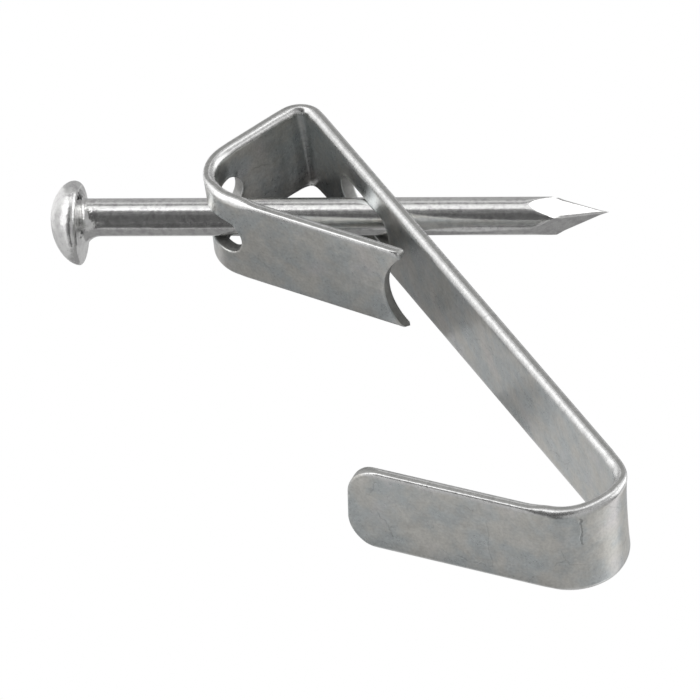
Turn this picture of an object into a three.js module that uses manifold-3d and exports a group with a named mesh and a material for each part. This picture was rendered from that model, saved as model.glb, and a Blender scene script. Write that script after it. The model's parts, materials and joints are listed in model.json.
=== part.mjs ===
// A picture hanger: one steel strip, bent into a loop and a hook, and the nail that pins it to a wall.
// Millimetres. X runs across the strip, +Y into the wall and +Z up. The wall is the plane Y = 0, and the
// origin lies on the strip's back, halfway between the leg's upper and lower corners.
import * as THREE from 'three';
import { mergeVertices } from 'three/addons/utils/BufferGeometryUtils.js';
import Module from 'manifold-3d';

const { degToRad } = THREE.MathUtils;

// Strip: its section, and the angle that each rounded edge spans above and below its middle
const stripWidth = 5.75;
const stripThickness = 0.72;
const edgeRoundness = degToRad(80);

// Strip: its four flat plates, each measured along its middle line from corner to corner or to its end.
// The hook is measured along its longer side
const frontLength = 15.15;
const topLength = 9.55;
const legLength = 44.5;
const hookLength = 20.27;

// Strip: how far each bend turns, and the radius of its inner face
const frontTurn = degToRad(108.7);
const topTurn = degToRad(102.8);
const hookTurn = degToRad(142.2);
const frontInnerRadius = 2.3;
const topInnerRadius = 0.81;
const hookInnerRadius = 2.43;

// Strip: the round notch in the front plate's end, centred past that end, and the hook's rounded corners,
// with an end cut a little askew
const notchRadius = 3.4;
const notchPastEnd = 1.88;
const notchOffCentre = 0.35;
const hookCornerRadius = 2;
const hookEndSlant = degToRad(5.5);

// Strip: its two slots. One wraps the front bend, the other lies below the leg's upper corner
const frontSlotLength = 6.1;
const legSlotLength = 5.75;
const legSlotDrop = 7.55;
const slotSidePlay = 0.05;

// Nail: its shank and its four-sided point, which was pinched a little off centre
const nailDiameter = 2.15;
const nailLength = 31.85;
const pointLength = 2.98;
const pointOffCentre = 0.2;
const pointTurn = degToRad(-8.4);

// Nail: its domed head with a rolled rim and a fillet below. It was struck off centre, with a rim that
// leans while the underside stays square to the shank
const headDiameter = 4.83;
const domeHeight = 1.44;
const rollHeight = 0.35;
const rollDepth = 0.4;
const undersideRise = 0.08;
const filletHeight = 0.85;
const filletSpread = 0.45;
const headOffCentre = 0.31;
const rimLean = degToRad(3.6);

// Nail in the strip: its slope below the horizontal, how far it is turned about its own axis, where it
// crosses the leg's middle line below the upper corner, and how far its point stands past that line
const nailSlope = degToRad(34.2);
const nailTurn = degToRad(41.6);
const nailDropAtLeg = 8.34;
const nailReach = 13.2;

// How finely the curves are drawn, and how far a cutter runs past what it cuts
const bendSteps = 14;
const edgeSteps = 3;
const roundSteps = 40;
const notchSteps = 10;
const cornerSteps = 5;
const domeSteps = 8;
const rollSteps = 5;
const filletSteps = 5;
const domeFullness = 1.7;
const closestStationShare = 0.01;
const overrun = 0.4;

const plated = new THREE.MeshStandardMaterial({ color: 0xa9adb0, roughness: 0.38, metalness: 1 });
const bright = new THREE.MeshStandardMaterial({ color: 0xc9cacc, roughness: 0.16, metalness: 1 });

const halfThickness = stripThickness / 2;
const cutDepth = stripThickness + 2 * overrun;
const slotWidth = nailDiameter + 2 * slotSidePlay;
const nailRadius = nailDiameter / 2;

// The strip's middle line: the heading of each plate in the YZ plane, and the bends that join them
const legHeading = degToRad(-90);
const topHeading = legHeading + topTurn;
const frontHeading = topHeading + frontTurn;
const bends = [
  { turn: frontTurn, radius: frontInnerRadius + halfThickness },
  { turn: topTurn, radius: topInnerRadius + halfThickness },
  { turn: hookTurn, radius: hookInnerRadius + halfThickness },
];
const [frontSetback, topSetback, hookSetback] = bends.map((bend) => bend.radius * Math.tan(bend.turn / 2));
const straights = [
  frontLength - frontSetback,
  topLength - frontSetback - topSetback,
  legLength - topSetback - hookSetback,
  hookLength - hookSetback,
];
const runs = straights.flatMap((length, i) => {
  const bend = bends[i];
  return bend ? [{ length }, { ...bend, length: bend.turn * bend.radius }] : [{ length }];
});
const starts = runs.map((run, i) => runs.slice(0, i).reduce((sum, before) => sum + before.length, 0));
const frontBendMiddle = starts[1] + runs[1].length / 2;
const legStart = starts[4];
const stripLength = starts[6] + runs[6].length;

function direction(heading) {
  return new THREE.Vector2(Math.cos(heading), Math.sin(heading));
}

const upperCorner = new THREE.Vector2(-halfThickness, legLength / 2);
const frontEnd = upperCorner.clone()
  .addScaledVector(direction(topHeading), -topLength)
  .addScaledVector(direction(frontHeading), -frontLength);

// The middle line's point and heading at a distance from the front plate's free end
function place(along) {
  const point = frontEnd.clone();
  let heading = frontHeading;
  runs.forEach((run, i) => {
    const length = THREE.MathUtils.clamp(along - starts[i], 0, run.length);
    if (run.turn) {
      const turned = length / run.radius;
      const chord = 2 * run.radius * Math.sin(turned / 2);
      point.addScaledVector(direction(heading - turned / 2), chord);
      heading -= turned;
    } else {
      point.addScaledVector(direction(heading), length);
    }
  });
  return { point, heading };
}

// Distances along the middle line from one place to another, close together in the bends
function stationsBetween(first, last) {
  const closest = stripThickness * closestStationShare;
  const inner = runs.flatMap((run, i) => {
    const steps = run.turn ? bendSteps : 1;
    return Array.from({ length: steps }, (_, step) => starts[i] + run.length * (step / steps));
  });
  return [first, ...inner.filter((along) => along > first + closest && along < last - closest), last];
}

// A section, drawn across the strip and out of its outer face, carried along the middle line
function sweep(section, stations) {
  const last = stations.length - 1;
  const options = { depth: last, steps: last, curveSegments: edgeSteps, bevelEnabled: false };
  const geometry = new THREE.ExtrudeGeometry(section, options);
  const places = stations.map(place);
  const corners = geometry.attributes.position;
  for (let i = 0; i < corners.count; i += 1) {
    const { point, heading } = places[Math.round(corners.getZ(i))];
    const outward = direction(heading + Math.PI / 2).multiplyScalar(corners.getY(i)).add(point);
    corners.setXYZ(i, -corners.getX(i), outward.x, outward.y);
  }
  return geometry;
}

// A geometry drawn across (x), along (y) and out of the outer face (z), set on the strip unbent
function setOnStrip(geometry, along) {
  const { point, heading } = place(along);
  const ahead = direction(heading);
  const outward = direction(heading + Math.PI / 2);
  const matrix = new THREE.Matrix4().makeBasis(
    new THREE.Vector3(1, 0, 0),
    new THREE.Vector3(0, ahead.x, ahead.y),
    new THREE.Vector3(0, outward.x, outward.y),
  );
  return geometry.applyMatrix4(matrix.setPosition(0, point.x, point.y));
}

const wasm = await Module();
wasm.setup();

// A closed geometry as a solid that can be cut and joined
function solid(geometry) {
  geometry.deleteAttribute('normal');
  geometry.deleteAttribute('uv');
  const merged = mergeVertices(geometry);
  return new wasm.Manifold(new wasm.Mesh({
    numProp: 3,
    vertProperties: new Float32Array(merged.attributes.position.array),
    triVerts: new Uint32Array(merged.index.array),
  }));
}

// A finished solid as a named mesh
function piece(name, body, material) {
  const { vertProperties, triVerts } = body.getMesh();
  const geometry = new THREE.BufferGeometry();
  geometry.setAttribute('position', new THREE.BufferAttribute(new Float32Array(vertProperties), 3));
  geometry.setIndex(new THREE.BufferAttribute(new Uint32Array(triVerts), 1));
  geometry.computeVertexNormals();
  const mesh = new THREE.Mesh(geometry, material);
  mesh.name = name;
  return mesh;
}

// The strip's section: two flat faces between two rounded edges
function stripSection() {
  const radius = halfThickness / Math.sin(edgeRoundness);
  const centre = stripWidth / 2 - radius;
  const section = new THREE.Shape();
  section.absarc(centre, 0, radius, -edgeRoundness, edgeRoundness, false);
  section.absarc(-centre, 0, radius, Math.PI - edgeRoundness, Math.PI + edgeRoundness, false);
  return section;
}

// A slot's cutter: a bar that follows the strip between two round ends
function slotCutter(centre, length) {
  const radius = slotWidth / 2;
  const reach = length / 2 - radius;
  const bar = new THREE.Shape();
  bar.moveTo(-radius, -cutDepth / 2);
  bar.lineTo(radius, -cutDepth / 2);
  bar.lineTo(radius, cutDepth / 2);
  bar.lineTo(-radius, cutDepth / 2);
  const middle = solid(sweep(bar, stationsBetween(centre - reach, centre + reach)));
  return [-reach, reach].reduce((body, offset) => {
    return body.add(solid(setOnStrip(drill(radius), centre + offset)));
  }, middle);
}

function drill(radius) {
  return new THREE.CylinderGeometry(radius, radius, cutDepth, roundSteps).rotateX(Math.PI / 2);
}

// A flat outline cut straight through the strip at one place
function punch(outline, curveSegments) {
  const options = { depth: cutDepth, curveSegments, bevelEnabled: false };
  return new THREE.ExtrudeGeometry(outline, options).translate(0, 0, -cutDepth / 2);
}

// The notch's cutter stops just past the free end, short of the leg behind it
function notchCutter() {
  const startAngle = Math.asin((notchPastEnd - overrun) / notchRadius);
  const waste = new THREE.Shape();
  waste.absarc(-notchOffCentre, -notchPastEnd, notchRadius, startAngle, Math.PI - startAngle, false);
  return solid(setOnStrip(punch(waste, notchSteps), 0));
}

// What is left over round the hook's tip: two rounded corners joined by the slanted end
function tipCutter() {
  const side = stripWidth / 2;
  const centre = side - hookCornerRadius;
  const endAngle = Math.PI / 2 - hookEndSlant;
  const down = (x) => -((x + side) * Math.sin(hookEndSlant) + hookCornerRadius) / Math.cos(hookEndSlant);
  const waste = new THREE.Shape();
  waste.moveTo(side + overrun, down(centre));
  waste.absarc(centre, down(centre), hookCornerRadius, 0, endAngle, false);
  waste.absarc(-centre, down(-centre), hookCornerRadius, endAngle, Math.PI, false);
  waste.lineTo(-side - overrun, down(-centre));
  waste.lineTo(-side - overrun, overrun);
  waste.lineTo(side + overrun, overrun);
  return solid(setOnStrip(punch(waste, cornerSteps), stripLength));
}

function hangerStrip() {
  const cutters = [
    slotCutter(frontBendMiddle, frontSlotLength),
    slotCutter(legStart + legSlotDrop - topSetback, legSlotLength),
    notchCutter(),
    tipCutter(),
  ];
  const blank = solid(sweep(stripSection(), stationsBetween(0, stripLength)));
  return piece('hanger_strip', cutters.reduce((body, cutter) => body.subtract(cutter), blank), plated);
}

// A quarter turn in equal steps, as the sine and cosine of each
function quarterTurn(steps) {
  return Array.from({ length: steps + 1 }, (_, i) => {
    const angle = (Math.PI / 2) * (i / steps);
    return { sine: Math.sin(angle), cosine: Math.cos(angle) };
  });
}

// The nail is drawn with its point at the origin and its head along +Y
const rimAt = nailLength - domeHeight;
const neckAt = rimAt - rollHeight - undersideRise;

function shank() {
  const fillet = quarterTurn(filletSteps).map(({ sine, cosine }) => {
    const radius = nailRadius + filletSpread * (1 - cosine);
    return new THREE.Vector2(radius, neckAt - filletHeight * (1 - sine));
  });
  const inHead = neckAt + undersideRise;
  const profile = [
    new THREE.Vector2(0, 0),
    new THREE.Vector2(nailRadius, 0),
    ...fillet,
    new THREE.Vector2(nailRadius + filletSpread, inHead),
    new THREE.Vector2(0, inHead),
  ];
  return solid(new THREE.LatheGeometry(profile, roundSteps));
}

function head() {
  const rimRadius = headDiameter / 2;
  const under = -rollHeight - undersideRise;
  const roll = quarterTurn(rollSteps).map(({ sine, cosine }) => {
    return new THREE.Vector2(rimRadius - rollDepth * (1 - sine), -rollHeight * cosine);
  });
  const dome = quarterTurn(domeSteps).slice(1).map(({ sine }) => {
    const radius = rimRadius * Math.sqrt(Math.max(0, 1 - sine ** domeFullness));
    return new THREE.Vector2(radius, domeHeight * sine);
  });
  const profile = [new THREE.Vector2(0, under), new THREE.Vector2(nailRadius + filletSpread, under), ...roll, ...dome];
  const geometry = new THREE.LatheGeometry(profile, roundSteps);
  const corners = geometry.attributes.position;
  for (let i = 0; i < corners.count; i += 1) {
    const leaning = THREE.MathUtils.clamp(1 - corners.getY(i) / under, 0, 1);
    corners.setY(i, corners.getY(i) + leaning * corners.getX(i) * Math.tan(rimLean));
  }
  return solid(geometry.translate(-headOffCentre, rimAt, 0));
}

// A tall four-sided pyramid with a ridge near each of X and Z, which leaves the nail's point. It leans, so
// that all four faces leave the shank alike and meet off centre
function pointPyramid() {
  const height = 2 * nailLength;
  const radius = height * (nailRadius / pointLength);
  const lean = new THREE.Matrix4().makeShear(0, 0, -pointOffCentre / pointLength, 0, 0, 0);
  const cone = new THREE.ConeGeometry(radius, height, 4).rotateX(Math.PI).rotateY(pointTurn);
  return solid(cone.translate(0, height / 2, 0).applyMatrix4(lean).translate(pointOffCentre, 0, 0));
}

function nail() {
  const mesh = piece('nail', shank().add(head()).intersect(pointPyramid()), bright);
  const tip = new THREE.Vector2(-halfThickness, legLength / 2 - nailDropAtLeg)
    .addScaledVector(direction(-nailSlope), nailReach);
  mesh.position.set(0, tip.x, tip.y);
  mesh.rotation.x = Math.PI - nailSlope;
  mesh.rotateY(nailTurn);
  return mesh;
}

const hanger = new THREE.Group();
hanger.add(hangerStrip(), nail());
export default hanger;
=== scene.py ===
import json
import math

import bmesh
import bpy
from mathutils import Matrix, Vector, geometry, noise


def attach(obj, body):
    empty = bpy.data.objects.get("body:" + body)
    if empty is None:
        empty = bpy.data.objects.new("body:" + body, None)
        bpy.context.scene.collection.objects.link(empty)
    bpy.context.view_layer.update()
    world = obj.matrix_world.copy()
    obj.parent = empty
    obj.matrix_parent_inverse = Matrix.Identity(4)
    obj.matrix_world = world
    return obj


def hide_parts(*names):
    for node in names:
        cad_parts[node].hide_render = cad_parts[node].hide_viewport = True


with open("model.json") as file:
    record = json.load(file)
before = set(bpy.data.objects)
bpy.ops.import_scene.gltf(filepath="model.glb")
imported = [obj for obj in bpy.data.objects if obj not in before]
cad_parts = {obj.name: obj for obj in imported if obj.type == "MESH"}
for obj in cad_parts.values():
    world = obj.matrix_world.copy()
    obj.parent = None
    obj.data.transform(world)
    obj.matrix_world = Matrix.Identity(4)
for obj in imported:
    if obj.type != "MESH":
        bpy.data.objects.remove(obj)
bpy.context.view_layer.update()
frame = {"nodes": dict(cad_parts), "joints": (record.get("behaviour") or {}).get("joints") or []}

MM = 0.001

# The strip, as in the CAD model: its section and its four plates and three bends
STRIP_WIDTH = 5.75
STRIP_THICKNESS = 0.72
FRONT_LENGTH = 15.15
TOP_LENGTH = 9.55
LEG_LENGTH = 44.5
HOOK_LENGTH = 20.27
FRONT_TURN = math.radians(108.7)
TOP_TURN = math.radians(102.8)
HOOK_TURN = math.radians(142.2)
FRONT_INNER_RADIUS = 2.3
TOP_INNER_RADIUS = 0.81
HOOK_INNER_RADIUS = 2.43
LEG_HEADING = math.radians(-90)

# The strip's notch, hook tip and slots, as in the CAD model
NOTCH_RADIUS = 3.4
NOTCH_PAST_END = 1.88
NOTCH_OFF_CENTRE = 0.35
TIP_RADIUS = 2.0
TIP_SLANT = math.radians(5.5)
FRONT_SLOT_LENGTH = 6.1
LEG_SLOT_LENGTH = 5.75
SLOT_WIDTH = 2.25
LEG_SLOT_DROP = 7.55

# What the press leaves on the strip. Its sides were slit: each has a tight arris, a narrow flat and a
# broad rolled corner. The rolled corner is at the inner face on the +X side and at the outer face on the
# -X side. Round the front bend and the hook bend, over these spans along the strip, the +X side's two
# corners change places
ARRIS_RADIUS = 0.12
ROLLED_RADIUS = 0.4
SWAP_SPANS = [(10.4, 13.4), (59.8, 65.2)]
SWAP_FADE = 0.7

# The rims where it was sheared are eased, least where they start from the strip's sides, and the slots'
# are raised at the inner face, where the punch came out. The prong beside the notch is worn round
SHEAR_ROUND = 0.09
SHEAR_ROWS = 4
JOIN_LENGTH = 0.5
BURR_HEIGHT = 0.06
BURR_WIDTH = 0.24
BURR_ROWS = 3
PRONG_RADIUS = 0.35
PRONG_ROUND = 0.26
PRONG_REACH = 1.1

# The bends' middles are drawn in a little, so that their edges curl, and the top bend is pressed thinner,
# with an inner corner that is tight at -X and broader at +X. The hook bend bulges at +X and lies in at -X
CURL_DEPTH = 0.05
CURL_LEAST = 0.015
CURL_WIDTH = 0.8
CURL_FADE = 0.35
CREASE_RADII = (0.15, 0.5)
BULGE_DEPTH = 0.27
BULGE_DRAW = 0.06
BULGE_SHARE = 0.6
EDGE_WAVER = 0.012
EDGE_WAVER_LENGTH = 2.6

# How finely the strip is drawn
BEND_STEP = math.radians(3)
PLATE_STEP = 0.45
ARRIS_COLUMNS = 4
ROLLED_COLUMNS = 9
FLAT_COLUMNS = 8
OUTLINE_STEP = 0.14
ARC_STEP = math.radians(12)

# How far off a rim's line its points may lie, how near two points of the flat strip or two places of a
# mesh are one, and the least angle of an edge that is left sharp
RIM_SLACK = 0.0045
SAME_POINT = 1e-6
SAME_PLACE = 1e-5
SHARP_ANGLE = math.radians(40)

# The nail, as in the CAD model. Its turn is about its own axis
NAIL_DIAMETER = 2.15
NAIL_LENGTH = 31.85
NAIL_TURN = math.radians(41.6)
POINT_FLATS = 4
POINT_LENGTH = 2.98
POINT_OFF_CENTRE = 0.2
POINT_TURN = math.radians(-8.4)
HEAD_DIAMETER = 4.83
DOME_HEIGHT = 1.44
DOME_FULLNESS = 1.7
ROLL_HEIGHT = 0.35
ROLL_DEPTH = 0.4
UNDERSIDE_RISE = 0.08
HEAD_OFF_CENTRE = 0.31
RIM_LEAN = math.radians(3.6)

# How far the smooth head keeps inside the CAD model's flat-sided one
HEAD_EASE = 0.012

# The rounding of the ridges between the point's flats, and the share of their length that it fades over
RIDGE_RADIUS = 0.12
RIDGE_FADE_SHARE = 0.15

# The fillet below the head, which is broad on the side that the head leans to and tight on the other
FILLET_HEIGHTS = (0.22, 0.95)
FILLET_SPREADS = (0.14, 1.0)

# How finely the nail is drawn
NAIL_COLUMNS = 96
FLAT_SPAN = NAIL_COLUMNS // POINT_FLATS
SHANK_ROWS = 60
POINT_ROWS = 28
FILLET_ROWS = 10
ROLL_ROWS = 10
DOME_ROWS = 24

# The noises' roughness and middle value, and how many finer layers each of them adds
NOISE_ROUGHNESS = 0.55
NOISE_MIDDLE = 0.5
COARSE_DETAIL = 0
PLAIN_DETAIL = 2
FINE_DETAIL = 3
FINEST_DETAIL = 4

# The zinc plating's colours, the sizes of its textures and what they do. The flat map is the unbent
# strip, across and along it, and this is what a millimetre measures on it
FLAT_SCALE = 0.1
ZINC_COOL = (0.565, 0.595, 0.6)
ZINC_WARM = (0.66, 0.65, 0.615)
ZINC_BLUSH = (0.66, 0.62, 0.62)
ZINC_SIDE = (0.74, 0.74, 0.735)
ZINC_RIM = (0.42, 0.42, 0.41)
ZINC_ROUGHNESS = 0.3
ZINC_SIDE_ROUGHNESS = 0.28
ZINC_RIM_ROUGHNESS = 0.5
CLOUD_SIZE = 1.9
CLOUD_RANGE = (0.35, 0.65)
BLUSH_SIZE = 2.8
BLUSH_RANGE = (0.5, 0.9)
GRAIN_SIZE = 0.16
RIPPLE_SIZE = 0.7
WEAR_SIZE = 0.28
STREAK_SIZE = (0.14, 5.0, 1.0)
HAIRLINE_SIZE = 3.4
HAIRLINE_WIDTH = 0.05
HAIRLINE_SWIRL = 0.9
HAIRLINE_SWIRL_SIZE = 0.8
HAIRLINE_PATCH = 2.4
HAIRLINE_PATCH_RANGE = (0.52, 0.6)
CRACK_ALONG = 62.75
CRACK_FROM = 0.4
CRACK_TO = 2.5
CRACK_FADE = 0.15
CRACK_WIDTH = 0.09
CRACK_CORE = 0.03
CRACK_WANDER = 0.45

# How far each of the plating's textures moves its tone, its roughness and, in millimetres, its height
ZINC_TONES = {"grain": 0.44, "streaks": 0.1, "blush": 0.2, "ripple": 0.28}
ZINC_MARKS = {"hairlines": -0.18, "crack": -0.32, "wear": 0.4}
ZINC_ROUGHNESSES = {"grain": 0.1, "cloud": 0.1, "streaks": 0.05}
ZINC_HEIGHTS = {"grain": 0.003, "streaks": 0.002, "ripple": 0.02, "hairlines": -0.004, "crack": -0.02}

# The nail's steel, the same way
STEEL_DARK = (0.66, 0.65, 0.655)
STEEL_LIGHT = (0.8, 0.8, 0.79)
STEEL_ROUGHNESS = 0.17
HEAD_DULLNESS = 0.12
HEAD_DULL_FROM = 1.9
HEAD_DULL_TO = 1.3
DRAWN_SIZE = (0.09, 4.0, 0.09)
MOTTLE_SIZE = 0.35
MOTTLE_RANGE = (0.3, 0.6)
NAIL_CLOUD_SIZE = 1.6
GRIP_SIZE = 0.3
GRIP_FROM = 28.6
GRIP_TO = 29.4
CUT_SIZE = (0.25, 1.2, 0.25)
CUT_FADE = 0.15
STEEL_TONES = {"cloud": 0.12, "drawn": 0.06}
STEEL_ROUGHNESSES = {"mottle": 0.08, "cloud": 0.06, "drawn": 0.05}
STEEL_HEIGHTS = {"drawn": 0.003, "mottle": 0.006, "cloud": 0.012, "grip": 0.03, "cut": 0.012}

# The camera, where the photograph was taken from
CAMERA_PLACE = Vector((303.224, -138.281, -319.049))
CAMERA_FORWARD = Vector((-0.65551408, 0.28406245, 0.69972124))
CAMERA_UP = Vector((0.74772524, 0.37403119, 0.54864163))
CAMERA_LENS = 429.67
CAMERA_REACH = 100000.0
SENSOR_WIDTH = 36.0

# The stage. The surround is brighter to the camera and in the metal than as a light, and the floor glows
# for the camera alone
WHITE = (1, 1, 1, 1)
BLACK = (0, 0, 0, 1)
STAGE_UP = Vector((1, 0, 0))
SURROUND_LIGHT = 0.5
SURROUND_SHOWN = 1.0
FLOOR_COLOUR = (0.8, 0.8, 0.8, 1)
FLOOR_DROP = 460.0
FLOOR_SIZE = 6000.0
FLOOR_GLOW = 0.4

# A lamp or card has an azimuth, from straight behind the hanger towards the picture's right, an elevation
# towards +X, an angular width and height, all in degrees, and a brightness. A lamp's brightness adds to
# that of what stands behind it, while a card hides that
LAMP_DISTANCE = 400.0
CARD_DISTANCE = 600.0
LAMPS = [
    ("lamp_left", -82, 38, 76, 40, 0.85),
    ("lamp_right", 82, 26, 38, 58, 1.0),
    ("lamp_top", -60, 82, 24, 24, 0.1),
    ("lamp_point", 37, 61, 16, 16, 1.0),
]
CARDS = [
    ("card_camera_side", -170, 22, 76, 100, 0.12),
    ("card_below", 0, -90, 112, 112, 0.53),
    ("card_behind", 18, 14, 84, 88, 0.44),
    ("card_sides", 2, 42, 26, 13, 0.78),
    ("card_behind_high", -6, 55, 30, 12, 0.3),
    ("card_camera_high", -150, 74, 50, 22, 0.2),
    ("card_camera_low", -157, -12, 40, 30, 0.1),
    ("card_right_dark", 128, 4, 54, 42, 0.06),
    ("card_left_low", -80, -8, 90, 54, 0.6),
    ("card_right_low", 105, -50, 70, 30, 0.95),
]

# Shades are painted shadow: dark panels, seen only in the metal, that stand in for the shadow which the
# hanger and its nail would cast on a surface close below them. They lie flat below the hanger's -X side and
# darken what its lower faces show. A shade has a drop below the origin, a middle in Y and Z, a size in Y
# and Z, a turn in degrees and a brightness
SHADES = [
    ("shade_loop", 6, -0.5, 23.5, 13, 13, 0, 0.02),
    ("shade_loop_fade", 6, -2, 13, 11, 8, 0, 0.24),
    ("shade_leg_fade", 6, -2.5, 6, 9, 6, 0, 0.48),
    ("shade_front", 14, -27, 14, 20, 22, 0, 0.61),
    ("shade_nail", 8, -5.2, 10.4, 40, 13, -34.2, 0.3),
    ("shade_hook", 14, -20.5, -10.4, 26, 7, -52.2, 0.3),
]


def direction(heading):
    return Vector((math.cos(heading), math.sin(heading)))


class Run:
    """A plate or a bend of the strip's middle line, and where it starts."""

    def __init__(self, start, point, heading, length, radius=0.0):
        self.start = start
        self.point = point
        self.heading = heading
        self.length = length
        self.radius = radius

    def at(self, along):
        """The middle line's point and heading at a distance from the start of the run."""
        if not self.radius:
            return self.point + direction(self.heading) * along, self.heading
        turned = along / self.radius
        chord = 2 * self.radius * math.sin(turned / 2)
        return self.point + direction(self.heading - turned / 2) * chord, self.heading - turned


def make_runs():
    """The strip's seven runs from the front plate's free end to the hook's tip."""
    half = STRIP_THICKNESS / 2
    turns = [FRONT_TURN, TOP_TURN, HOOK_TURN]
    radii = [FRONT_INNER_RADIUS + half, TOP_INNER_RADIUS + half, HOOK_INNER_RADIUS + half]
    setbacks = [0, *(radius * math.tan(turn / 2) for radius, turn in zip(radii, turns)), 0]
    plates = [FRONT_LENGTH, TOP_LENGTH, LEG_LENGTH, HOOK_LENGTH]
    top_heading = LEG_HEADING + TOP_TURN
    heading = top_heading + FRONT_TURN
    upper_corner = Vector((-half, LEG_LENGTH / 2))
    point = upper_corner - direction(top_heading) * TOP_LENGTH - direction(heading) * FRONT_LENGTH
    runs, start = [], 0.0
    for i, plate in enumerate(plates):
        runs.append(Run(start, point, heading, plate - setbacks[i] - setbacks[i + 1]))
        if i < len(turns):
            point, heading = runs[-1].at(runs[-1].length)
            start += runs[-1].length
            runs.append(Run(start, point, heading, turns[i] * radii[i], radii[i]))
        point, heading = runs[-1].at(runs[-1].length)
        start += runs[-1].length
    return runs


RUNS = make_runs()
_, FRONT_BEND, _, TOP_BEND, LEG, HOOK_BEND, HOOK = RUNS
STRIP_LENGTH = HOOK.start + HOOK.length
TOP_SETBACK = (TOP_INNER_RADIUS + STRIP_THICKNESS / 2) * math.tan(TOP_TURN / 2)
SLOTS = [
    (FRONT_BEND.start + FRONT_BEND.length / 2, FRONT_SLOT_LENGTH),
    (LEG.start + LEG_SLOT_DROP - TOP_SETBACK, LEG_SLOT_LENGTH),
]
SIDE = STRIP_WIDTH / 2
HALF = STRIP_THICKNESS / 2
BEND_SPANS = [(run.start, run.start + run.length) for run in RUNS if run.radius]
NOTCH_CENTRE = Vector((-NOTCH_OFF_CENTRE, -NOTCH_PAST_END))


def place(along):
    """The middle line's point and heading at a distance from the front plate's free end."""
    run = next((run for run in reversed(RUNS) if run.start <= along), RUNS[0])
    return run.at(along - run.start)


def smooth_step(value):
    value = min(1.0, max(0.0, value))
    return value * value * (3 - 2 * value)


def span_share(along, spans, inside, outside):
    """1 inside the spans, 0 outside, with a fade that starts outside and ends inside their ends."""
    inset = max(min(along - start, end - along) for start, end in spans)
    return smooth_step((inset + outside) / (inside + outside))


def arc(centre, radius, start, end):
    """Points of an arc in the flat strip's plane, across and along, at OUTLINE_STEP or closer."""
    turn = abs(end - start)
    steps = max(math.ceil(turn / ARC_STEP), round(turn * radius / OUTLINE_STEP))
    angles = [start + (end - start) * i / steps for i in range(steps + 1)]
    return [centre + direction(angle) * radius for angle in angles]


def prong_centre():
    """The centre of the +X prong's round end, which runs from the strip's side into the notch."""
    across = SIDE - PRONG_RADIUS - NOTCH_CENTRE.x
    along = math.sqrt((NOTCH_RADIUS + PRONG_RADIUS) ** 2 - across**2)
    return NOTCH_CENTRE + Vector((across, along))


def notch_ring(inset):
    """The prong's end and the notch, from +X to -X, or a line at an even distance inside the metal."""
    prong = prong_centre()
    away = prong - NOTCH_CENTRE
    start = math.atan2(away.y, away.x)
    end = math.acos((NOTCH_OFF_CENTRE - SIDE) / (NOTCH_RADIUS + inset))
    tip = arc(prong, PRONG_RADIUS - inset, 0.0, start - math.pi)
    return tip[:-1] + arc(NOTCH_CENTRE, NOTCH_RADIUS + inset, start, end)


def joined(distance, past_side):
    """A sheared edge's distance, made greater where that edge starts from the strip's side."""
    return distance + SHEAR_ROUND * max(0.0, 1 - past_side / JOIN_LENGTH) ** 2


def prong_distance(point):
    """How far a point of the flat strip lies from the prong's round end."""
    prong = prong_centre()
    past = point - prong
    inward = (NOTCH_CENTRE - prong).normalized()
    if past.y < 0 and inward.x * past.y - inward.y * past.x > 0:
        return joined(PRONG_RADIUS - past.length, -past.y)
    return STRIP_LENGTH


def tip_corners():
    """The centres of the hook tip's two round corners, +X first."""
    corners = []
    for across in (SIDE - TIP_RADIUS, TIP_RADIUS - SIDE):
        slant = (across + SIDE) * math.sin(TIP_SLANT)
        corners.append(Vector((across, STRIP_LENGTH - (slant + TIP_RADIUS) / math.cos(TIP_SLANT))))
    return corners


def tip_ring(inset):
    """The hook's end from +X to -X, or a line at an even distance inside the metal."""
    end_angle = math.pi / 2 - TIP_SLANT
    plus, minus = tip_corners()
    first = arc(plus, TIP_RADIUS - inset, 0.0, end_angle)
    last = arc(minus, TIP_RADIUS - inset, end_angle, math.pi)
    steps = round((last[0] - first[-1]).length / OUTLINE_STEP)
    straight = [first[-1].lerp(last[0], i / steps) for i in range(1, steps)]
    return first + straight + last


def tip_distance(point):
    """How far a point of the flat strip lies from the hook's end, measured into the metal."""
    end = direction(math.pi / 2 - TIP_SLANT)
    for corner in tip_corners():
        past = point - corner
        if past.x * corner.x > 0 and past.y > 0:
            return joined(TIP_RADIUS - past.length, past.y)
    return TIP_RADIUS - (point - corner).dot(end)


def slot_ring(centre, length, inset):
    """A slot's rim, or a line at an even distance inside the metal."""
    radius = SLOT_WIDTH / 2 + inset
    reach = (length - SLOT_WIDTH) / 2
    straight = round(2 * reach / OUTLINE_STEP)
    sides = [reach * (2 * i / straight - 1) for i in range(1, straight)]
    ring = arc(Vector((0, centre + reach)), radius, 0, math.pi)
    ring += [Vector((-radius, centre - along)) for along in sides]
    ring += arc(Vector((0, centre - reach)), radius, math.pi, 2 * math.pi)
    ring += [Vector((radius, centre + along)) for along in sides]
    return ring


def slot_distance(point):
    """How far a point of the flat strip lies from the nearest slot."""
    across, along = point
    distances = []
    for centre, length in SLOTS:
        past = max(0.0, abs(along - centre) - (length - SLOT_WIDTH) / 2)
        distances.append(math.hypot(across, past) - SLOT_WIDTH / 2)
    return min(distances)


def sheared_distance(point):
    """How far a point of the flat strip lies from the nearest sheared edge."""
    notch = (point - NOTCH_CENTRE).length - NOTCH_RADIUS
    return min(notch, prong_distance(point), tip_distance(point), slot_distance(point))


def corner_radius(point, outward):
    """The radius of the outer or inner face's round corner at the strip's side."""
    if point.x < 0:
        return ROLLED_RADIUS if outward else ARRIS_RADIUS
    swapped = span_share(point.y, SWAP_SPANS, SWAP_FADE, SWAP_FADE)
    rolled = swapped if outward else 1 - swapped
    return ARRIS_RADIUS + (ROLLED_RADIUS - ARRIS_RADIUS) * rolled


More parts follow.
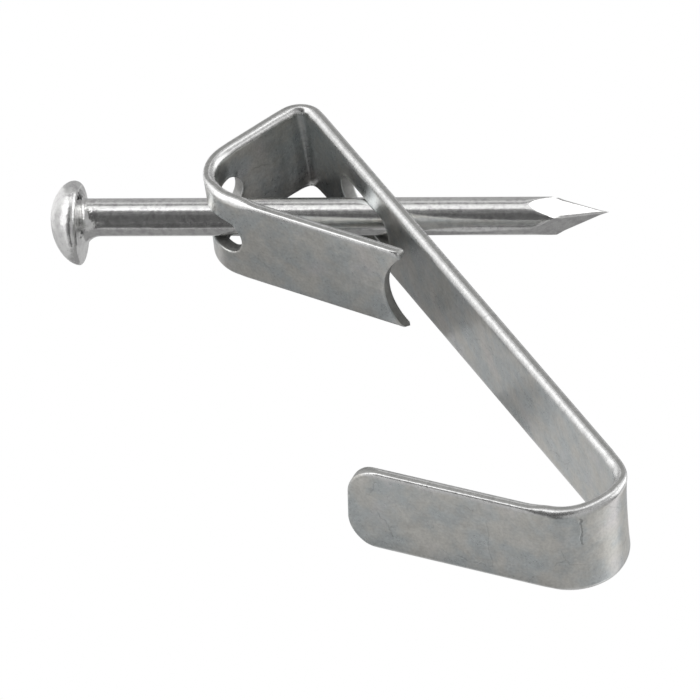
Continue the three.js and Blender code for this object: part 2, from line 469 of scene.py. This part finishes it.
def rim_round(point):
    """The radius that a sheared rim is eased by: small, and greater round the prong."""
    near = max(0.0, 1 - (point - prong_centre()).length / PRONG_REACH)
    return SHEAR_ROUND + (PRONG_ROUND - SHEAR_ROUND) * smooth_step(near)


def face_height(point, outward):
    """How far a face lies from the middle of the strip: flat, then round towards the strip's sides, and
    eased at the sheared rims."""
    corner = corner_radius(point, outward)
    past = max(0.0, abs(point.x) - SIDE + corner)
    height = HALF - corner + math.sqrt(max(0.0, corner**2 - past**2))
    eased = rim_round(point)
    near = 1 - min(1.0, max(0.0, sheared_distance(point)) / eased)
    return height - eased * (1 - math.sqrt(max(0.0, 1 - near**2)))


def burr(point):
    """How far the metal stands up round a slot, on the inner face."""
    near = 1 - min(1.0, max(0.0, slot_distance(point)) / BURR_WIDTH)
    return BURR_HEIGHT * near**2


def edge_waver(point):
    """A slight wandering of the strip's sides out of its plane."""
    past = max(0.0, (abs(point.x) - SIDE) / ROLLED_RADIUS + 1)
    side = math.copysign(SIDE, point.x)
    wave = noise.noise(Vector((point.y / EDGE_WAVER_LENGTH, side, 0)))
    return EDGE_WAVER * wave * past**2


def curl(point):
    """How far a bend's middle is drawn in towards its centre, while the strip's sides stay out."""
    edge = max(0.0, (abs(point.x) - SIDE + CURL_WIDTH) / CURL_WIDTH)
    return -span_share(point.y, BEND_SPANS, 0, CURL_FADE) * (CURL_LEAST + CURL_DEPTH * (1 - edge**2))


def bulge(point):
    """How far the hook bend stands out at its +X side, just past the leg, less how far it lies in at -X."""
    turned = (point.y - HOOK_BEND.start) / (HOOK_BEND.length * BULGE_SHARE)
    if not 0 < turned < 1:
        return 0.0
    across = (point.x + SIDE) / STRIP_WIDTH
    return (BULGE_DEPTH * across**2 - BULGE_DRAW * (1 - across)) * math.sin(math.pi * turned) ** 2


def crease(point):
    """How much of the strip's thickness is pressed away inside the top bend."""
    turn = TOP_BEND.length / TOP_BEND.radius / 2
    away = abs(point.y - TOP_BEND.start - TOP_BEND.length / 2) / TOP_BEND.radius
    if away >= turn:
        return 0.0
    tight, broad = CREASE_RADII
    radius = tight + (broad - tight) * (point.x + SIDE) / STRIP_WIDTH
    shift = (TOP_INNER_RADIUS - radius) / math.cos(turn)
    round_end = math.atan2(radius * math.sin(turn), shift + radius * math.cos(turn))
    reach = TOP_INNER_RADIUS / math.cos(turn - away)
    if away < round_end:
        reach = shift * math.cos(away) + math.sqrt(radius**2 - (shift * math.sin(away)) ** 2)
    return (reach - TOP_INNER_RADIUS) / STRIP_THICKNESS


def stations():
    """Distances along the strip: even on the plates, and at equal turns in the bends."""
    found = []
    for run in RUNS:
        turn = run.length / run.radius if run.radius else 0
        steps = round(turn / BEND_STEP) if run.radius else round(run.length / PLATE_STEP)
        found += [run.start + run.length * i / steps for i in range(steps)]
    return [*found[1:], STRIP_LENGTH]


def columns():
    """Places across the strip: even on the flat, and at equal turns round the edges."""
    flat_side = SIDE - ROLLED_RADIUS
    found = [flat_side * (2 * i / FLAT_COLUMNS - 1) for i in range(FLAT_COLUMNS + 1)]
    for radius, steps in ((ROLLED_RADIUS, ROLLED_COLUMNS), (ARRIS_RADIUS, ARRIS_COLUMNS)):
        for i in range(1, steps):
            across = SIDE - radius * (1 - math.sin(math.pi / 2 * i / steps))
            found += [across, -across]
    return sorted(found)


def rim_insets():
    """How far the lines that follow a sheared rim lie inside it: over its round, then over the burr."""
    turns = [math.pi / 2 * i / SHEAR_ROWS for i in range(1, SHEAR_ROWS + 1)]
    over_round = [SHEAR_ROUND * (1 - math.cos(turn)) for turn in turns]
    over_burr = [SHEAR_ROUND + (BURR_WIDTH - SHEAR_ROUND) * (i + 1) / BURR_ROWS for i in range(BURR_ROWS)]
    return over_round + over_burr


def strip_outline():
    """The unbent strip's outline: its +X side, the hook's tip, its -X side and the notch."""
    notch, tip = notch_ring(0), tip_ring(0)
    plus_side = [Vector((SIDE, along)) for along in stations() if notch[0].y < along < tip[0].y]
    minus_side = [Vector((-SIDE, along)) for along in stations() if notch[-1].y < along < tip[-1].y]
    return [*plus_side, *tip, *reversed(minus_side), *reversed(notch)]


def rim_points(inset):
    """Points on the lines that follow the sheared rims inside the metal, at an even distance."""
    rings = [notch_ring(inset), tip_ring(inset), *(slot_ring(*slot, inset) for slot in SLOTS)]
    inside = [point for ring in rings for point in ring if sheared_distance(point) > inset - RIM_SLACK]
    return [point for point in inside if abs(point.x) < SIDE - RIM_SLACK]


def flat_strip():
    """The strip unbent, as triangles over points across and along it."""
    points, loops = [], []
    for loop in [strip_outline(), *(slot_ring(*slot, 0) for slot in SLOTS)]:
        loops.append(list(range(len(points), len(points) + len(loop))))
        points += loop
    for inset in rim_insets():
        points += rim_points(inset)
    clear = BURR_WIDTH + OUTLINE_STEP / 2
    grid = [Vector((across, along)) for along in stations() for across in columns()]
    points += [point for point in grid if sheared_distance(point) > clear]
    found = geometry.delaunay_2d_cdt(points, [], loops, 2, SAME_POINT)
    return found[0], found[2]


def bend(point, height):
    """A point of the flat strip, at a height out of its outer face, on the bent strip."""
    middle, heading = place(point.y)
    height += curl(point) + edge_waver(point) + bulge(point)
    out = middle + direction(heading + math.pi / 2) * height
    return Vector((point.x, out.x, out.y)) * MM


def rim_edges(triangles):
    """The edges that only one triangle has."""
    edges = {}
    for triangle in triangles:
        for edge in zip(triangle, [*triangle[1:], triangle[0]]):
            edges[edge] = True
    return [(a, b) for a, b in edges if (b, a) not in edges]


def strip_mesh():
    """Both faces of the strip over one flat pattern, closed by walls where it was sheared."""
    points, triangles = flat_strip()
    mesh = bmesh.new()
    flat_layer, rim_layer = mesh.loops.layers.uv.new("flat"), mesh.loops.layers.uv.new("rim")
    outer, inner = [], []
    for point in points:
        high = face_height(point, True)
        low = -face_height(point, False) - burr(point)
        outer.append(mesh.verts.new(bend(point, high)))
        inner.append(mesh.verts.new(bend(point, low + (high - low) * crease(point))))
    where = {vert: points[i] for side in (outer, inner) for i, vert in enumerate(side)}
    for triangle in triangles:
        mesh.faces.new([outer[i] for i in triangle])
        mesh.faces.new([inner[i] for i in reversed(triangle)])
    for a, b in rim_edges(triangles):
        wall = mesh.faces.new([outer[b], outer[a], inner[a], inner[b]])
        for corner in wall.loops:
            corner[rim_layer].uv = (1, 0)
    for face in mesh.faces:
        for corner in face.loops:
            corner[flat_layer].uv = where[corner.vert] * FLAT_SCALE
    bmesh.ops.remove_doubles(mesh, verts=mesh.verts, dist=SAME_PLACE * MM)
    return finished("hanger_strip_surface", mesh)


def finished(name, mesh):
    """A bmesh as a named object in the scene, shaded smooth with weighted normals."""
    for face in mesh.faces:
        face.smooth = True
    bmesh.ops.recalc_face_normals(mesh, faces=mesh.faces)
    data = bpy.data.meshes.new(name)
    mesh.to_mesh(data)
    mesh.free()
    piece = bpy.data.objects.new(name, data)
    bpy.context.scene.collection.objects.link(piece)
    data.set_sharp_from_angle(angle=SHARP_ANGLE)
    weighted = piece.modifiers.new("weighted_normals", "WEIGHTED_NORMAL")
    weighted.keep_sharp = True
    return piece


def turned_about(axis, angle):
    return Matrix.Rotation(angle, 4, axis)


def nail_matrix():
    """The nail's own frame, point at the origin and head along +Y, in the frame of the CAD model."""
    axis = Vector(frame["joints"][0]["axis"])
    slope = math.atan2(-axis.z, axis.y)
    turned = turned_about("X", math.pi - slope) @ turned_about("Y", NAIL_TURN)
    corners = frame["nodes"]["nail"].data.vertices
    apex = max((corner.co for corner in corners), key=lambda co: co.dot(axis)) / MM
    return Matrix.Translation(apex - turned @ Vector((POINT_OFF_CENTRE, 0, 0))) @ turned


def column_angle(column):
    return 2 * math.pi * column / NAIL_COLUMNS - POINT_TURN


def about_axis(reach, along, angle):
    """A place at a reach from the nail's axis, a distance along it and an angle about it."""
    return Vector((reach * math.cos(angle), along, reach * math.sin(angle)))


def crease_height(column):
    """How far up the shank the point's flats leave it, at one column."""
    radius = NAIL_DIAMETER / 2
    first = column // FLAT_SPAN * FLAT_SPAN
    apex = Vector((POINT_OFF_CENTRE, 0, 0))
    ridges = [column_angle(first), column_angle(first + FLAT_SPAN)]
    ends = [about_axis(radius, POINT_LENGTH, angle) for angle in ridges]
    normal = (ends[0] - apex).cross(ends[1] - apex)
    across = about_axis(radius, 0, column_angle(column)) - apex
    return -(normal.x * across.x + normal.z * across.z) / normal.y


def ridge_ease(column, share):
    """The share of its distance from the middle that a place on the point keeps, for rounded ridges."""
    half_turn = math.pi / POINT_FLATS
    from_flat = half_turn * (2 * (column % FLAT_SPAN) / FLAT_SPAN - 1)
    from_ridge = half_turn - abs(from_flat)
    flat_at = share * NAIL_DIAMETER / 2 * math.cos(from_flat)
    radius = min(RIDGE_RADIUS * min(1.0, (1 - share) / RIDGE_FADE_SHARE), flat_at)
    if flat_at * math.tan(abs(from_flat)) <= (flat_at - radius) * math.tan(half_turn):
        return 1.0
    centre = (flat_at - radius) / math.cos(half_turn)
    reach = centre * math.cos(from_ridge)
    reach += math.sqrt(max(0.0, radius**2 - (centre * math.sin(from_ridge)) ** 2))
    return reach * math.cos(from_flat) / flat_at


def point_place(column, crease, share):
    """A place on the nail's point, that share of the way from its tip to the shank."""
    eased = ridge_ease(column, share) * share
    across = POINT_OFF_CENTRE * (1 - share) + crease.x * eased
    return Vector((across, crease.y * share, crease.z * eased))


def ring(radius, height, off_centre=0.0, lean=0.0):
    """One ring of the nail's skin. Its centre may lie off the axis, and it may lean."""
    places = []
    for column in range(NAIL_COLUMNS):
        angle = column_angle(column)
        across = radius * math.cos(angle)
        places.append(Vector((across - off_centre, height + lean * across, radius * math.sin(angle))))
    return places


def fillet_ring(radius, neck_at, spread_share, drop_share):
    """One ring of the fillet, whose size changes round the nail."""
    places = []
    for column in range(NAIL_COLUMNS):
        angle = column_angle(column)
        lean = (1 - math.cos(angle)) / 2
        spread = FILLET_SPREADS[0] + (FILLET_SPREADS[1] - FILLET_SPREADS[0]) * lean
        height = FILLET_HEIGHTS[0] + (FILLET_HEIGHTS[1] - FILLET_HEIGHTS[0]) * lean
        reach = radius + spread * spread_share
        places.append(about_axis(reach, neck_at - height * drop_share, angle))
    return places


def head_rings():
    """Rings from the top of the shank over the fillet, underside, rolled rim and dome."""
    radius = NAIL_DIAMETER / 2
    rim = HEAD_DIAMETER / 2 - HEAD_EASE
    rim_at = NAIL_LENGTH - DOME_HEIGHT
    neck_at = rim_at - ROLL_HEIGHT - UNDERSIDE_RISE
    under = ROLL_HEIGHT + UNDERSIDE_RISE
    rings = []
    for i in range(FILLET_ROWS + 1):
        turn = math.pi / 2 * i / FILLET_ROWS
        rings.append(fillet_ring(radius, neck_at, 1 - math.cos(turn), 1 - math.sin(turn)))
    for i in range(ROLL_ROWS + 1):
        turn = math.pi / 2 * i / ROLL_ROWS
        below = ROLL_HEIGHT * math.cos(turn)
        lean = math.tan(RIM_LEAN) * (1 - below / under)
        spread = rim - ROLL_DEPTH * (1 - math.sin(turn))
        rings.append(ring(spread, rim_at - below, HEAD_OFF_CENTRE, lean))
    for i in range(1, DOME_ROWS):
        sine = math.sin(math.pi / 2 * i / DOME_ROWS)
        spread = rim * math.sqrt(1 - sine**DOME_FULLNESS)
        rings.append(ring(spread, rim_at + DOME_HEIGHT * sine, HEAD_OFF_CENTRE, math.tan(RIM_LEAN)))
    return rings


def nail_rows():
    """The nail's skin in rows of places: up the point's flats, along the shank, then up to the dome."""
    radius = NAIL_DIAMETER / 2
    around = range(NAIL_COLUMNS)
    creases = [about_axis(radius, crease_height(column), column_angle(column)) for column in around]
    rows = []
    for i in range(1, POINT_ROWS + 1):
        share = i / POINT_ROWS
        rows.append([point_place(column, crease, share) for column, crease in enumerate(creases)])
    upper = head_rings()
    for i in range(1, SHANK_ROWS):
        rows.append([a.lerp(b, i / SHANK_ROWS) for a, b in zip(creases, upper[0])])
    return rows + upper


def nail_mesh():
    """The nail's skin, column by column, from its tip to the top of its head."""
    mesh = bmesh.new()
    turned = nail_matrix()
    tip_at = Vector((POINT_OFF_CENTRE, 0, 0))
    top_at = Vector((-HEAD_OFF_CENTRE, NAIL_LENGTH, 0))
    tip = mesh.verts.new(turned @ tip_at * MM)
    crown = mesh.verts.new(turned @ top_at * MM)
    verts = [[mesh.verts.new(turned @ co * MM) for co in row] for row in nail_rows()]
    for column in range(NAIL_COLUMNS):
        after = (column + 1) % NAIL_COLUMNS
        mesh.faces.new([tip, verts[0][column], verts[0][after]])
        mesh.faces.new([crown, verts[-1][after], verts[-1][column]])
        for low, high in zip(verts, verts[1:]):
            mesh.faces.new([low[column], high[column], high[after], low[after]])
    return finished("nail_surface", mesh)


def plug(found, name):
    """One of a node's sockets in use, by its place or its name."""
    if isinstance(name, int):
        return found[name]
    return next(socket for socket in found if socket.enabled and socket.name == name)


def node(tree, kind, inputs, **settings):
    """A new shader node. Each input is set to a value or joined to another node's output."""
    made = tree.nodes.new("ShaderNode" + kind)
    for name, value in settings.items():
        setattr(made, name, value)
    for name, value in inputs.items():
        if isinstance(value, bpy.types.NodeSocket):
            tree.links.new(value, plug(made.inputs, name))
        else:
            plug(made.inputs, name).default_value = value
    return made


def sums(tree, operation, *values):
    """A plain sum on values or outputs."""
    return node(tree, "Math", dict(enumerate(values)), operation=operation).outputs[0]


def step(tree, value, low, high):
    """0 below one value, 1 above another and smooth between them."""
    inputs = {"Value": value, "From Min": low, "From Max": high}
    return node(tree, "MapRange", inputs, interpolation_type="SMOOTHSTEP").outputs[0]


def mixed(tree, share, first, second):
    """One colour changing to another by a share."""
    inputs = {"Factor": share, "A": (*first, 1) if isinstance(first, tuple) else first, "B": (*second, 1)}
    return plug(node(tree, "Mix", inputs, data_type="RGBA").outputs, "Result")


def scaled(tree, colour, factor):
    """A colour or place times one number."""
    return node(tree, "VectorMath", {0: colour, "Scale": factor}, operation="SCALE").outputs[0]


def stretched(tree, places, size):
    """Places divided by a size of three parts, so that one unit is that size."""
    return node(tree, "VectorMath", {0: places, 1: size}, operation="DIVIDE").outputs[0]


def clouds(tree, places, size, detail):
    """Noise from 0 to 1 with features of about that size."""
    inputs = {"Vector": places, "Scale": 1 / size, "Detail": detail, "Roughness": NOISE_ROUGHNESS}
    return node(tree, "TexNoise", inputs).outputs[0]


def added(tree, total, textures, depths):
    """A value and, on top of it, each texture that has a depth, times that depth."""
    for name, depth in depths.items():
        total = sums(tree, "MULTIPLY_ADD", textures[name], depth, total)
    return total


def varied(tree, base, textures, depths):
    """A value moved up and down about its base by textures, each over its own full depth."""
    return added(tree, base - sum(depths.values()) / 2, textures, depths)


def hairlines(tree, places):
    """Thin branching lines, here and there, as 1 on black."""
    swirl = node(tree, "TexNoise", {"Vector": places, "Scale": 1 / HAIRLINE_SWIRL_SIZE}).outputs["Color"]
    push = scaled(tree, swirl, HAIRLINE_SWIRL)
    pushed = node(tree, "VectorMath", {0: places, 1: push}, operation="ADD").outputs[0]
    inputs = {"Vector": pushed, "Scale": 1 / HAIRLINE_SIZE}
    cells = node(tree, "TexVoronoi", inputs, feature="DISTANCE_TO_EDGE").outputs["Distance"]
    line = step(tree, cells, HAIRLINE_WIDTH / HAIRLINE_SIZE, 0)
    here = step(tree, clouds(tree, places, HAIRLINE_PATCH, COARSE_DETAIL), *HAIRLINE_PATCH_RANGE)
    return sums(tree, "MULTIPLY", line, here)


def crack(tree, across, along, wander):
    """One short dark line across the hook bend, from near its +X side."""
    off = sums(tree, "MULTIPLY_ADD", wander, -CRACK_WANDER, sums(tree, "SUBTRACT", along, CRACK_ALONG))
    line = step(tree, sums(tree, "ABSOLUTE", off), CRACK_WIDTH, CRACK_CORE)
    start = step(tree, across, CRACK_FROM, CRACK_FROM + CRACK_FADE)
    end = step(tree, across, CRACK_TO, CRACK_TO - CRACK_FADE)
    return sums(tree, "MULTIPLY", sums(tree, "MULTIPLY", line, start), end)


def finish_metal(tree, colour, tone, roughness, height):
    """Joins the made values to the material's shader. The height is in millimetres."""
    bump = node(tree, "Bump", {"Strength": 1.0, "Distance": MM, "Height": height})
    shader = tree.nodes["Principled BSDF"]
    shader.inputs["Metallic"].default_value = 1
    tree.links.new(scaled(tree, colour, tone), shader.inputs["Base Color"])
    tree.links.new(roughness, shader.inputs["Roughness"])
    tree.links.new(bump.outputs[0], shader.inputs["Normal"])


def new_material(name):
    """A material and its node tree, which has the plain shader."""
    material = bpy.data.materials.new(name)
    material.use_nodes = True
    return material, material.node_tree


def own_places(tree):
    """The object's own coordinates, in millimetres."""
    return stretched(tree, node(tree, "TexCoord", {}).outputs["Object"], (MM, MM, MM))


def uv_parts(tree, name, size):
    """A UV map's two coordinates, divided by a size, and the same as one place."""
    places = stretched(tree, node(tree, "UVMap", {}, uv_map=name).outputs[0], (size, size, 1))
    parts = node(tree, "SeparateXYZ", {0: places}).outputs
    return parts[0], parts[1], places


def zinc_colour(tree, cloud, blush, side, rim):
    """Two greys in clouds with a warm blush, brighter on the slit sides and darker on the sheared rims."""
    colour = mixed(tree, step(tree, cloud, *CLOUD_RANGE), ZINC_COOL, ZINC_WARM)
    colour = mixed(tree, step(tree, blush, *BLUSH_RANGE), colour, ZINC_BLUSH)
    colour = mixed(tree, side, colour, ZINC_SIDE)
    return mixed(tree, rim, colour, ZINC_RIM)


def side_wear(tree, solid, from_middle):
    """Patches lighter and darker than the rest, on the slit sides alone, as a value about zero."""
    slit = step(tree, from_middle, SIDE - ARRIS_RADIUS, SIDE)
    patches = sums(tree, "SUBTRACT", clouds(tree, solid, WEAR_SIZE, FINE_DETAIL), NOISE_MIDDLE)
    return sums(tree, "MULTIPLY", slit, patches)


def zinc_plate():
    """Satin zinc plating: clouded greys, fine grain, rolling streaks, hairlines, a crack and worn sides."""
    material, tree = new_material("zinc_plate")
    solid = own_places(tree)
    across, along, flat = uv_parts(tree, "flat", FLAT_SCALE)
    rim = uv_parts(tree, "rim", 1)[0]
    from_middle = sums(tree, "ABSOLUTE", across)
    side = step(tree, from_middle, SIDE - ROLLED_RADIUS, SIDE - ARRIS_RADIUS)
    ripple = clouds(tree, solid, RIPPLE_SIZE, FINE_DETAIL)
    textures = {
        "cloud": clouds(tree, solid, CLOUD_SIZE, FINEST_DETAIL),
        "blush": clouds(tree, solid, BLUSH_SIZE, FINE_DETAIL),
        "grain": clouds(tree, solid, GRAIN_SIZE, PLAIN_DETAIL),
        "ripple": ripple,
        "streaks": clouds(tree, stretched(tree, flat, STREAK_SIZE), 1, FINE_DETAIL),
        "hairlines": hairlines(tree, flat),
        "crack": crack(tree, across, along, ripple),
        "wear": side_wear(tree, solid, from_middle),
    }
    colour = zinc_colour(tree, textures["cloud"], textures["blush"], side, rim)
    tone = varied(tree, 1, textures, ZINC_TONES)
    tone = added(tree, tone, textures, ZINC_MARKS)
    rough = varied(tree, ZINC_ROUGHNESS, textures, ZINC_ROUGHNESSES)
    rough = sums(tree, "MULTIPLY_ADD", side, ZINC_SIDE_ROUGHNESS - ZINC_ROUGHNESS, rough)
    rough = sums(tree, "MULTIPLY_ADD", rim, ZINC_RIM_ROUGHNESS - ZINC_ROUGHNESS, rough)
    height = varied(tree, 0, textures, ZINC_HEIGHTS)
    finish_metal(tree, colour, tone, rough, height)
    return material


def nail_places(tree):
    """Places in the nail's own frame, with its point at the origin and its length along Y."""
    inverse = nail_matrix().inverted()
    inputs = {
        "Vector": own_places(tree),
        "Location": inverse.to_translation(),
        "Rotation": inverse.to_euler(),
    }
    return node(tree, "Mapping", inputs).outputs[0]


def bright_steel():
    """Bright drawn wire: lines along the nail, mottling, a gripped neck, a cut point and a duller head."""
    material, tree = new_material("bright_steel")
    own = nail_places(tree)
    along = node(tree, "SeparateXYZ", {0: own}).outputs[1]
    gripped = step(tree, along, GRIP_FROM, GRIP_TO)
    point = step(tree, along, POINT_LENGTH + CUT_FADE, POINT_LENGTH)
    head = step(tree, along, NAIL_LENGTH - HEAD_DULL_FROM, NAIL_LENGTH - HEAD_DULL_TO)
    marks = clouds(tree, own, GRIP_SIZE, FINE_DETAIL)
    cuts = clouds(tree, stretched(tree, own, CUT_SIZE), 1, PLAIN_DETAIL)
    textures = {
        "drawn": clouds(tree, stretched(tree, own, DRAWN_SIZE), 1, FINE_DETAIL),
        "mottle": clouds(tree, own, MOTTLE_SIZE, FINE_DETAIL),
        "cloud": clouds(tree, own, NAIL_CLOUD_SIZE, PLAIN_DETAIL),
        "grip": sums(tree, "MULTIPLY", gripped, marks),
        "cut": sums(tree, "MULTIPLY", point, cuts),
    }
    colour = mixed(tree, step(tree, textures["mottle"], *MOTTLE_RANGE), STEEL_DARK, STEEL_LIGHT)
    tone = varied(tree, 1, textures, STEEL_TONES)
    rough = varied(tree, STEEL_ROUGHNESS, textures, STEEL_ROUGHNESSES)
    rough = sums(tree, "MULTIPLY_ADD", head, HEAD_DULLNESS, rough)
    height = varied(tree, 0, textures, STEEL_HEIGHTS)
    finish_metal(tree, colour, tone, rough, height)
    return material


def dress():
    strip = strip_mesh()
    strip.data.materials.append(zinc_plate())
    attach(strip, "strip")
    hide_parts("hanger_strip")
    nail = nail_mesh()
    nail.data.materials.append(bright_steel())
    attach(nail, "nail")
    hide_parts("nail")


def make_camera():
    """A camera at the photograph's place and angle."""
    data = bpy.data.cameras.new("camera")
    data.lens = CAMERA_LENS
    data.sensor_width = SENSOR_WIDTH
    data.sensor_fit = "HORIZONTAL"
    data.clip_end = CAMERA_REACH * MM
    camera = bpy.data.objects.new("camera", data)
    right = CAMERA_FORWARD.cross(CAMERA_UP)
    turned = Matrix((right, CAMERA_UP, -CAMERA_FORWARD)).transposed().to_4x4()
    camera.matrix_world = Matrix.Translation(CAMERA_PLACE * MM) @ turned
    bpy.context.scene.collection.objects.link(camera)
    bpy.context.scene.camera = camera


def make_square(name, size, material):
    """A plain square of the stage, flat on XY about the origin."""
    mesh = bmesh.new()
    bmesh.ops.create_grid(mesh, size=size * MM / 2)
    data = bpy.data.meshes.new(name)
    mesh.to_mesh(data)
    mesh.free()
    data.materials.append(material)
    square = bpy.data.objects.new(name, data)
    bpy.context.scene.collection.objects.link(square)
    return square


def make_floor():
    """A plain pale floor, well below the hanger, which hangs on a wall."""
    material, tree = new_material("floor")
    shader = tree.nodes["Principled BSDF"]
    shader.inputs["Base Color"].default_value = FLOOR_COLOUR
    shader.inputs["Emission Color"].default_value = WHITE
    seen = node(tree, "LightPath", {}).outputs["Is Camera Ray"]
    glow = sums(tree, "MULTIPLY", seen, FLOOR_GLOW)
    tree.links.new(glow, shader.inputs["Emission Strength"])
    floor = make_square("floor", FLOOR_SIZE, material)
    floor.location.z = -FLOOR_DROP * MM


def studio_direction(azimuth, elevation):
    """A direction by its turn from straight behind the hanger to the right, and its height."""
    level = Vector((0, CAMERA_FORWARD.y, CAMERA_FORWARD.z)).normalized()
    right = level.cross(STAGE_UP)
    azimuth, elevation = math.radians(azimuth), math.radians(elevation)
    flat = level * math.cos(azimuth) + right * math.sin(azimuth)
    return flat * math.cos(elevation) + STAGE_UP * math.sin(elevation)


def facing_middle(azimuth, elevation, distance):
    """Where something stands in the studio, turned so that its own -Z faces the hanger."""
    towards = studio_direction(azimuth, elevation)
    turned = towards.to_track_quat("Z", "Y").to_matrix().to_4x4()
    return Matrix.Translation(towards * distance * MM) @ turned


def seen_length(distance, angle):
    """How long something is that takes up that many degrees at that distance."""
    return 2 * distance * math.tan(math.radians(angle / 2))


def make_lamp(name, azimuth, elevation, width, height, brightness):
    """A soft box of an angular width and height, in degrees, whose face has that brightness."""
    data = bpy.data.lights.new(name, "AREA")
    data.shape = "RECTANGLE"
    data.size = seen_length(LAMP_DISTANCE, width) * MM
    data.size_y = seen_length(LAMP_DISTANCE, height) * MM
    data.energy = brightness * math.pi * data.size * data.size_y
    lamp = bpy.data.objects.new(name, data)
    lamp.matrix_world = facing_middle(azimuth, elevation, LAMP_DISTANCE)
    lamp.visible_camera = False
    bpy.context.scene.collection.objects.link(lamp)


def make_panel(name, placed, width, height, brightness):
    """A plain panel that glows at its brightness and only shows in the metal: as a card it gives the
    reflections their darker parts, and as a shade their painted shadow.
    """
    material, tree = new_material(name)
    shader = tree.nodes["Principled BSDF"]
    shader.inputs["Base Color"].default_value = BLACK
    shader.inputs["Specular IOR Level"].default_value = 0
    shader.inputs["Emission Color"].default_value = WHITE
    shader.inputs["Emission Strength"].default_value = brightness
    card = make_square(name, 1, material)
    card.matrix_world = placed @ Matrix.Diagonal((width, height, 1, 1))
    card.visible_camera = card.visible_diffuse = card.visible_shadow = False


def make_card(name, azimuth, elevation, width, height, brightness):
    """A far panel of an angular width and height, in degrees."""
    placed = facing_middle(azimuth, elevation, CARD_DISTANCE)
    across, upright = seen_length(CARD_DISTANCE, width), seen_length(CARD_DISTANCE, height)
    make_panel(name, placed, across, upright, brightness)


def make_shade(name, drop, middle_y, middle_z, size_y, size_z, turn, brightness):
    """A near panel of painted shadow, square to the X axis."""
    middle = Matrix.Translation(Vector((-drop, middle_y, middle_z)) * MM)
    placed = middle @ turned_about("X", math.radians(turn)) @ turned_about("Y", math.pi / 2)
    make_panel(name, placed, size_z, size_y, brightness)


def make_world():
    """White all round for the camera and for what the metal shows, and dimmer as a light."""
    world = bpy.data.worlds.new("studio")
    bpy.context.scene.world = world
    world.use_nodes = True
    tree = world.node_tree
    rays = node(tree, "LightPath", {}).outputs
    shown = sums(tree, "MAXIMUM", rays["Is Camera Ray"], rays["Is Glossy Ray"])
    shown = sums(tree, "MAXIMUM", shown, rays["Is Transmission Ray"])
    inputs = {"Value": shown, "To Min": SURROUND_LIGHT, "To Max": SURROUND_SHOWN}
    strength = node(tree, "MapRange", inputs).outputs[0]
    background = tree.nodes["Background"]
    background.inputs["Color"].default_value = WHITE
    tree.links.new(strength, background.inputs["Strength"])


def light_stage():
    """The studio: a floor, a white surround, soft boxes, cards and shades of painted shadow."""
    make_floor()
    make_world()
    for lamp in LAMPS:
        make_lamp(*lamp)
    for card in CARDS:
        make_card(*card)
    for shade in SHADES:
        make_shade(*shade)


bpy.context.scene.view_settings.view_transform = "Standard"
make_camera()
light_stage()
dress()
